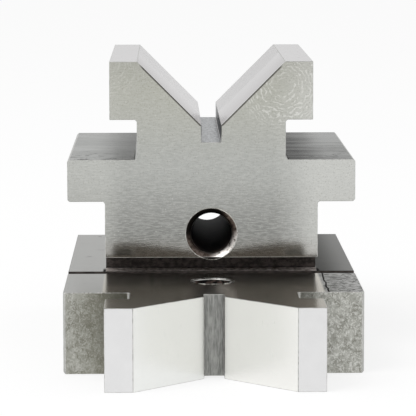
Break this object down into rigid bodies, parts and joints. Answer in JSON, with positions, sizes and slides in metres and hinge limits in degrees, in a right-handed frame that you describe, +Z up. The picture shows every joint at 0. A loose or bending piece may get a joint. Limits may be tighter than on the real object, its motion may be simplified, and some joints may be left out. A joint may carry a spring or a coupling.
{
  "type": "v block",
  "caption": "Right-angle V block: an upright with a V along its top, on a base whose front end has a second, vertical V; side notches for clamps and tapped holes.",
  "frame": {"origin": "middle of the rectangle the block covers, on its bottom face", "axes": "+Z up, +Y from the leg towards the back of the upright, X across the block"},
  "size_m": [0.06, 0.107, 0.0606],
  "materials": {
    "ground_steel": "ground and milled tool steel, satin, with fine grinding lines, milled arcs and small nicks"
  },
  "bodies": {
    "root": {"v_block": "ground_steel"}
  },
  "joints": []
}
